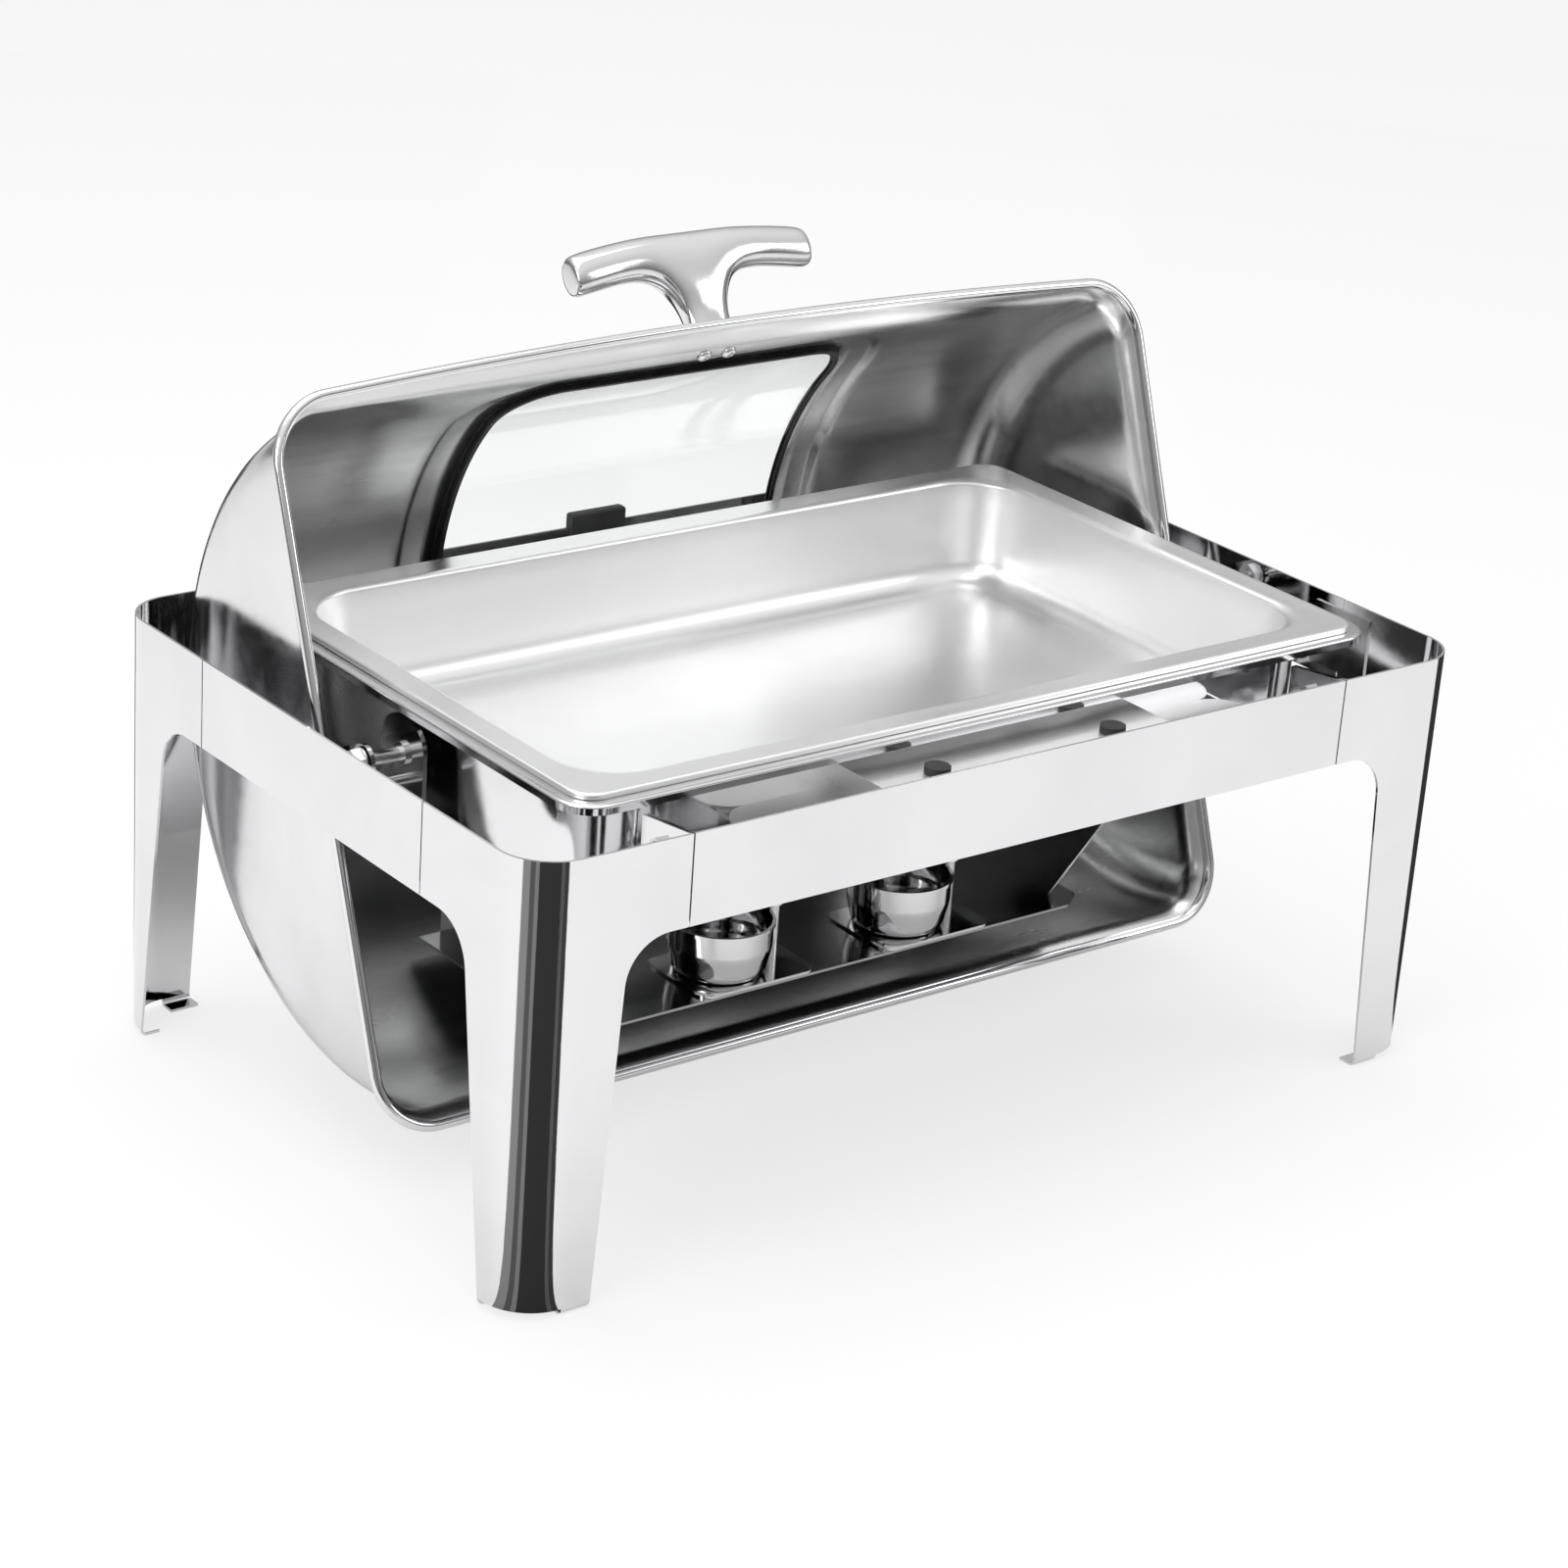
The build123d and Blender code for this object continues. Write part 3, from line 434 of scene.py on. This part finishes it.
def front_wall(x, z):
    """Depth of the pressed lid's outer face at the front, lid closed."""
    height = z - RIM_Z
    dome = math.sqrt(LID_R ** 2 - (z - DOME_Z) ** 2)
    flare = FLARE_Y * max(0.0, 1.0 - height / FLARE_HEIGHT) ** 2.5
    return -dome - flare - rim_bow(x) * max(0.0, 1.0 - height / BOW_HEIGHT) ** 2


def shell_columns():
    """Stations along the dome: (x, radius, turn of the edge), from end plate to end plate."""
    flat = SHELL_HALF - SHELL_EDGE_R
    half = [(x / 1000, LID_R, 0.0) for x in (11, 22, 33, 44, 55, 66, 77, 88, 99, 110, 121, 132, 143, 154, 172,
                                             190, 208, 226, 242, 254, 262)]
    for degrees in range(9, 91, 9):
        turn = math.radians(degrees)
        half.append((flat + SHELL_EDGE_R * math.sin(turn), LID_R - SHELL_EDGE_R * (1 - math.cos(turn)), turn))
    for radius in (0.150, 0.135, 0.115, 0.095, 0.075, 0.055, 0.035, 0.020, RIM_DROP + 1e-7):
        half.append((SHELL_HALF, radius, math.pi / 2))
    left = [(-x, radius, turn) for x, radius, turn in reversed(half)]
    return left + [(0.0, LID_R, 0.0)] + half


def shell_rows():
    """Rows round the dome from the back edge to the front one, as shares of the arc."""
    first = math.degrees(math.asin(RIM_DROP / LID_R))
    low = [first + step for step in (0.0, 0.35, 0.8, 1.4, 2.2, 3.2, 4.4, 6.0, 8.0, 11.0, 14.5)]
    middle = [22.0 + 4.15 * step for step in range(18)] + [96.6]
    window = [96.6 + 74.8 * step / 24 for step in range(1, 25)]
    high = [180.0 - first - step for step in (4.0, 3.2, 2.5, 1.9, 1.4, 1.0, 0.6, 0.3, 0.0)]
    degrees = low + middle + window + high
    return [(angle - first) / (180.0 - 2 * first) for angle in degrees], len(low) + 18, len(low) + 18 + 24


def toward(x, s, half_x, half_s, radius, grow):
    """Point of a rounded rectangle's outline, grown by a margin, on the way from (x, s) to its core."""
    core = Vector((max(-half_x + radius, min(half_x - radius, x)), max(-half_s + radius, min(half_s - radius, s))))
    return core + (Vector((x, s)) - core).normalized() * (radius + grow)


def window_surround(border):
    """Loops from the grid's rectangular hole in to the window: panel step, panel and opening."""
    loops = []
    for margin in (0.0035, 0.0024, 0.0016, 0.0008, 0.0, -0.0008, -0.0016, -0.0024, -0.0035):
        share = 0.5 - 0.5 * math.sin(math.pi / 2 * margin / 0.0035)
        loops.append([(*toward(x, s, PANEL_X, PANEL_S, PANEL_R, margin), PANEL_RAISE * share) for x, s in border])
    edge = [toward(x, s, WINDOW_HALF_X, WINDOW_HALF_S, WINDOW_R, 0.0) for x, s in border]
    inner = loops[-1]
    for share in (0.5, 1.0):
        loops.append([((1 - share) * a[0] + share * b.x, (1 - share) * a[1] + share * b.y, PANEL_RAISE)
                      for a, b in zip(inner, edge)])
    return loops


def shell_mesh():
    """Grid of the dome with its end plates, and the pressed panel set into the grid's hole."""
    columns = shell_columns()
    rows, row_from, row_to = shell_rows()
    column_from = next(i for i, c in enumerate(columns) if abs(c[0] + 0.154) < 1e-9)
    column_to = next(i for i, c in enumerate(columns) if abs(c[0] - 0.154) < 1e-9)
    vertices = []
    angles = {}
    for column, (x, radius, turn) in enumerate(columns):
        low = math.asin(min(1.0, RIM_DROP / radius))
        for row, share in enumerate(rows):
            angle = low + share * (math.pi - 2 * low)
            angles[column, row] = angle
            vertices.append(pressed(x, radius * math.cos(angle), DOME_Z + radius * math.sin(angle), turn))
    high = len(rows)
    faces = []
    for column in range(len(columns) - 1):
        for row in range(high - 1):
            if column_from <= column < column_to and row_from <= row < row_to:
                continue
            first = column * high + row
            faces.append((first, first + high, first + high + 1, first + 1))
    ring = [(column, row_from) for column in range(column_from, column_to)]
    ring += [(column_to, row) for row in range(row_from, row_to)]
    ring += [(column, row_to) for column in range(column_to, column_from, -1)]
    ring += [(column_from, row) for row in range(row_to, row_from, -1)]
    border = [(columns[c][0], LID_R * math.sin(angles[c, r] - WINDOW_MID)) for c, r in ring]
    previous = [c * high + r for c, r in ring]
    for loop in window_surround(border):
        current = list(range(len(vertices), len(vertices) + len(loop)))
        for x, s, rise in loop:
            angle = WINDOW_MID + math.asin(s / LID_R)
            radius = LID_R + rise
            vertices.append(pressed(x, radius * math.cos(angle), DOME_Z + radius * math.sin(angle), 0.0))
        count = len(loop)
        for index in range(count):
            following = (index + 1) % count
            faces.append((previous[index], previous[following], current[following], current[index]))
        previous = current
    return vertices, faces


def add_shell():
    """Pressed lid: polished outside, satin inside, a millimetre thick."""
    piece = add_piece("lid_pressing", shell_mesh(), "lid", lid_steel, ("lid_shell",))
    mesh = piece.data
    axis = opened((0.0, 0.0, DOME_Z))
    outward = sum((face.center - Vector((face.center.x, axis.y, axis.z))).dot(face.normal) for face in mesh.polygons)
    if outward < 0:
        mesh.flip_normals()
    mesh.materials.append(lid_satin)
    thick = piece.modifiers.new("sheet", "SOLIDIFY")
    thick.thickness = SHELL_T
    thick.offset = -1.0
    thick.material_offset = 1


def rim_line(steps=14):
    """Closed line of the lid's edge, bowed at the front."""
    points = []
    for turn, (sx, sy) in enumerate(((1, 1), (-1, 1), (-1, -1), (1, -1))):
        for step in range(steps + 1):
            angle = math.pi / 2 * (turn + step / steps)
            x = sx * (RIM_X - RIM_CORNER_R) + RIM_CORNER_R * math.cos(angle)
            y = sy * (RIM_Y - RIM_CORNER_R) + RIM_CORNER_R * math.sin(angle)
            points.append((x, y))
        if turn == 2:
            flat = RIM_X - RIM_CORNER_R
            points += [(flat * (2 * step / 40 - 1), -RIM_Y) for step in range(1, 40)]
    return [(x, y - rim_bow(x) if y < 0 else y) for x, y in points]


def add_bead():
    """Rolled edge of the lid, with the open seam of the roll along its inner side."""
    line = rim_line()
    count = len(line)
    section = [(BEAD_R * math.cos(a), BEAD_R * math.sin(a)) for a in
               (math.radians(d) for d in range(-150, 171, 20))]
    section += [(-0.0020, 0.0013), (-0.0018, -0.0004), (-0.0024, -0.0014)]
    rings = []
    for index, (x, y) in enumerate(line):
        before = Vector(line[index - 1])
        after = Vector(line[(index + 1) % count])
        along = (after - before).normalized()
        outward = Vector((along.y, -along.x))
        rings.append([opened((x + outward.x * a, y + outward.y * a, RIM_Z - BEAD_R + b)) for a, b in section])
    size = len(section)
    vertices = [point for ring in rings for point in ring]
    faces = []
    for index in range(count):
        here = index * size
        there = (index + 1) % count * size
        for k in range(size):
            faces.append((here + k, here + (k + 1) % size, there + (k + 1) % size, there + k))
    piece = add_piece("lid_rolled_edge", (vertices, faces), "lid", bead_steel, ("lid_rim",))
    piece.data.set_sharp_from_angle(angle=math.radians(60.0))


def screw_head(centre_x, centre_y, centre_z, lean):
    """Pan head with a cross recess, its axis leaning from +Y of the closed lid."""
    radii = (0.0, 0.0006, 0.0012, 0.0018, 0.0024, 0.0027, 0.0034, 0.0040, 0.0044, 0.0046, 0.0046)
    height = (0.0026, 0.0026, 0.0026, 0.0025, 0.0025, 0.0024, 0.0021, 0.0016, 0.0010, 0.0004, -0.0012)
    turns = 48
    vertices = []
    for radius, rise in zip(radii, height):
        for step in range(turns):
            angle = 2 * math.pi * step / turns
            a = radius * math.cos(angle)
            b = radius * math.sin(angle)
            slot = 0.0014 if radius < 0.0026 and min(abs(a), abs(b)) < 0.0005 else 0.0
            out = rise - slot
            vertices.append(opened((centre_x + a, centre_y + out * math.cos(lean) + b * math.sin(lean),
                                    centre_z - out * math.sin(lean) + b * math.cos(lean))))
    faces = []
    for ring in range(len(radii) - 1):
        for step in range(turns):
            following = (step + 1) % turns
            faces.append((ring * turns + step, ring * turns + following, (ring + 1) * turns + following,
                          (ring + 1) * turns + step))
    return vertices, faces


def add_handle_screws():
    """Two cross-head screws inside the lid, behind the handle, square to its wall."""
    step = 0.004
    slope = (front_wall(0.0, HANDLE_Z + step) - front_wall(0.0, HANDLE_Z - step)) / (2 * step)
    lean = math.atan(slope)
    inner = front_wall(0.0, HANDLE_Z) + SHELL_T / math.cos(lean)
    vertices = []
    faces = []
    for x in (-HANDLE_SCREW_X, HANDLE_SCREW_X):
        more, quads = screw_head(x, inner, HANDLE_Z, lean)
        base = len(vertices)
        vertices += more
        faces += [tuple(i + base for i in quad) for quad in quads]
    piece = add_piece("handle_screw_heads", (vertices, faces), "lid", screw_steel,
                      ("handle_screws",))
    piece.data.set_sharp_from_angle(angle=math.radians(40.0))


# ---------------------------------------------------------------- lid handle
def handle_cage():
    """Coarse cage of the T-handle: (x, reach, half thickness) corners and quads between them."""
    half = ((0.0820, 0.0660, 0.0440, 0.0084), (0.0785, 0.0690, 0.0425, 0.0100), (0.0600, 0.0715, 0.0455, 0.0100),
            (0.0400, 0.0735, 0.0480, 0.0102), (0.0240, 0.0745, 0.0440, 0.0106))
    spine = [(-x, top, bottom, t) for x, top, bottom, t in half] + [(0.0, 0.0742, 0.0425, 0.0106)]
    spine += [(x, top, bottom, t) for x, top, bottom, t in reversed(half)]
    columns = [row[0] for row in spine]
    top = [row[1] for row in spine]
    bottom = [row[2] for row in spine]
    thick = [row[3] for row in spine]
    points = []
    for row in (top, bottom):
        points += [(x, reach, t) for x, reach, t in zip(columns, row, thick)]
    wide = len(spine)
    quads = [(i, i + 1, i + wide + 1, i + wide) for i in range(wide - 1)]
    stem = ((0.0165, 0.0310, 0.0085), (0.0145, 0.0190, 0.0078), (0.0150, 0.0080, 0.0080),
            (0.0165, 0.0005, 0.0088), (0.0165, -0.0025, 0.0088))
    previous = (wide + 4, wide + 5, wide + 6)
    for half_x, reach, t in stem:
        first = len(points)
        points += [(-half_x, reach, t), (0.0, reach, t), (half_x, reach, t)]
        quads += [(previous[0], previous[1], first + 1, first), (previous[1], previous[2], first + 2, first + 1)]
        previous = (first, first + 1, first + 2)
    return points, quads


def add_handle():
    """Cast T-handle as a subdivision surface over a thick cage."""
    points, quads = handle_cage()
    count = len(points)
    vertices = []
    for side in (1, -1):
        for x, reach, thick in points:
            y = HANDLE_WALL - reach * math.cos(HANDLE_TILT) + side * thick * math.sin(HANDLE_TILT)
            z = HANDLE_Z + reach * math.sin(HANDLE_TILT) + side * thick * math.cos(HANDLE_TILT)
            vertices.append(opened((x, min(y, front_wall(x, z) + HANDLE_BITE), z)))
    faces = [tuple(q) for q in quads] + [tuple(i + count for i in reversed(q)) for q in quads]
    used = {}
    for quad in quads:
        for first, second in zip(quad, quad[1:] + quad[:1]):
            used[frozenset((first, second))] = used.get(frozenset((first, second)), 0) + 1
    for quad in quads:
        for first, second in zip(quad, quad[1:] + quad[:1]):
            if used[frozenset((first, second))] == 1:
                faces.append((second, first, first + count, second + count))
    piece = add_piece("handle_casting", (vertices, faces), "lid", handle_metal, ("lid_handle",))
    smooth = piece.modifiers.new("rounding", "SUBSURF")
    smooth.levels = 3
    smooth.render_levels = 3
    return piece


# ---------------------------------------------------------------- stage
def add_floor():
    """Pale floor that fades to white and keeps a soft shadow."""
    mesh = bpy.data.meshes.new("floor")
    half = 8.0
    mesh.from_pydata([(-half, -half, 0), (half, -half, 0), (half, half, 0), (-half, half, 0)], [], [(0, 1, 2, 3)])
    floor = bpy.data.objects.new("floor", mesh)
    bpy.context.scene.collection.objects.link(floor)
    material, tree, shader = new_material("floor_pale")
    shader.inputs["Base Color"].default_value = (0.86, 0.86, 0.86, 1.0)
    shader.inputs["Roughness"].default_value = 0.9
    glow = tree.nodes.new("ShaderNodeEmission")
    glow.inputs["Strength"].default_value = 1.0
    blend = tree.nodes.new("ShaderNodeMixShader")
    path = tree.nodes.new("ShaderNodeLightPath")
    seen = math_node(tree, "MAXIMUM", path.outputs["Is Camera Ray"], path.outputs["Is Transmission Ray"])
    seen = math_node(tree, "MULTIPLY", seen, 0.7)
    mirrored = math_node(tree, "MULTIPLY", path.outputs["Is Glossy Ray"], 0.15)
    tree.links.new(math_node(tree, "MAXIMUM", seen, mirrored), blend.inputs["Fac"])
    tree.links.new(shader.outputs["BSDF"], blend.inputs[1])
    tree.links.new(glow.outputs["Emission"], blend.inputs[2])
    output = next(n for n in tree.nodes if n.type == "OUTPUT_MATERIAL")
    tree.links.new(blend.outputs["Shader"], output.inputs["Surface"])
    mesh.materials.append(material)


def add_card(name, corners, shade):
    """Matt card that only reflections see, as a photographer's flag."""
    mesh = bpy.data.meshes.new(name)
    mesh.from_pydata(corners, [], [tuple(range(len(corners)))])
    card = bpy.data.objects.new(name, mesh)
    bpy.context.scene.collection.objects.link(card)
    material, tree, shader = new_material(name)
    shader.inputs["Base Color"].default_value = (shade, shade, shade, 1.0)
    shader.inputs["Roughness"].default_value = 1.0
    mesh.materials.append(material)
    card.visible_camera = False
    card.visible_diffuse = False
    card.visible_shadow = False
    card.visible_transmission = False


def floor_flag(name, apex, start, end, shade):
    """Flat flag just over the floor: a sector from a leg's foot, between two azimuths."""
    near = 0.004
    far = 2.5
    steps = 8
    angles = [math.radians(start + (end - start) * step / steps) for step in range(steps + 1)]
    corners = [(apex[0] + far * math.cos(a), apex[1] + far * math.sin(a), 0.0015) for a in angles]
    corners += [(apex[0] + near * math.cos(a), apex[1] + near * math.sin(a), 0.0015) for a in reversed(angles)]
    add_card(name, corners, shade)


def add_cards():
    """Flags that put the dark, graded bands into the polished corners."""
    left = (-LEG_X, -LEG_Y)
    for name, start, end, shade in (("a", 190.0, 205.0, 0.20), ("b", 205.0, 214.0, 0.06), ("c", 214.0, 221.0, 0.16),
                                    ("d", 221.0, 262.0, 0.008), ("e", 262.0, 268.0, 0.07),
                                    ("f", 268.0, 276.0, 0.02)):
        floor_flag("flag_front_left_" + name, left, start, end, shade)
    floor_flag("flag_front_right", (LEG_X, -LEG_Y), -12.0, 52.0, 0.008)
    floor_flag("flag_back_left", (-LEG_X, LEG_Y), 52.0, 84.0, 0.02)


def add_lights():
    """Overhead softbox, a large one on the left and a low fill on the right."""
    for name, place, target, size, power in (
            ("softbox_top", (-0.2, 0.3, 2.3), (0.0, 0.0, 0.2), 2.0, 26.0),
            ("softbox_left", (-2.2, -0.7, 1.5), (0.0, 0.0, 0.2), 1.4, 16.0),
            ("softbox_right", (2.0, -1.6, 1.3), (0.0, 0.0, 0.2), 1.2, 9.0)):
        light = bpy.data.lights.new(name, "AREA")
        light.shape = "SQUARE"
        light.size = size
        light.energy = power
        lamp = bpy.data.objects.new(name, light)
        bpy.context.scene.collection.objects.link(lamp)
        lamp.location = place
        lamp.rotation_euler = (Vector(target) - Vector(place)).to_track_quat("-Z", "Y").to_euler()


def add_world():
    """White to the camera; in reflections a bright sky that darkens towards the horizon."""
    world = bpy.data.worlds.new("studio")
    bpy.context.scene.world = world
    world.use_nodes = True
    tree = world.node_tree
    tree.nodes.clear()
    output = tree.nodes.new("ShaderNodeOutputWorld")
    place = tree.nodes.new("ShaderNodeTexCoord")
    split = tree.nodes.new("ShaderNodeSeparateXYZ")
    tree.links.new(place.outputs["Generated"], split.inputs["Vector"])
    ramp = tree.nodes.new("ShaderNodeValToRGB")
    ramp.color_ramp.elements[0].position = 0.0
    ramp.color_ramp.elements[0].color = (0.16, 0.16, 0.16, 1.0)
    ramp.color_ramp.elements[1].position = 0.8
    ramp.color_ramp.elements[1].color = (0.95, 0.95, 0.95, 1.0)
    middle = ramp.color_ramp.elements.new(0.35)
    middle.color = (0.45, 0.45, 0.45, 1.0)
    tree.links.new(split.outputs["Z"], ramp.inputs["Fac"])
    room = tree.nodes.new("ShaderNodeBackground")
    tree.links.new(ramp.outputs["Color"], room.inputs["Color"])
    white = tree.nodes.new("ShaderNodeBackground")
    white.inputs["Color"].default_value = (1.0, 1.0, 1.0, 1.0)
    path = tree.nodes.new("ShaderNodeLightPath")
    blend = tree.nodes.new("ShaderNodeMixShader")
    seen = math_node(tree, "MAXIMUM", path.outputs["Is Camera Ray"], path.outputs["Is Transmission Ray"])
    tree.links.new(seen, blend.inputs["Fac"])
    tree.links.new(room.outputs["Background"], blend.inputs[1])
    tree.links.new(white.outputs["Background"], blend.inputs[2])
    tree.links.new(blend.outputs["Shader"], output.inputs["Surface"])


def add_camera():
    """Camera at the photographed angle, with a longer lens so the object fills the frame."""
    camera = bpy.data.cameras.new("camera")
    camera.lens = 91.0
    camera.sensor_width = 36.0
    camera.clip_end = 50.0
    eye = bpy.data.objects.new("camera", camera)
    bpy.context.scene.collection.objects.link(eye)
    turn = (Matrix.Rotation(math.radians(-38.71), 4, "Z") @ Matrix.Rotation(math.radians(67.557), 4, "X")
            @ Matrix.Rotation(math.radians(4.102), 4, "Z"))
    eye.matrix_world = Matrix.Translation((-1.2971, -1.6122, 1.0108)) @ turn
    bpy.context.scene.camera = eye


dress_cad_nodes()
add_pans()
add_shell()
add_bead()
add_handle()
add_handle_screws()
add_floor()
add_cards()
add_lights()
add_world()
add_camera()
bpy.context.scene.view_settings.view_transform = "Standard"
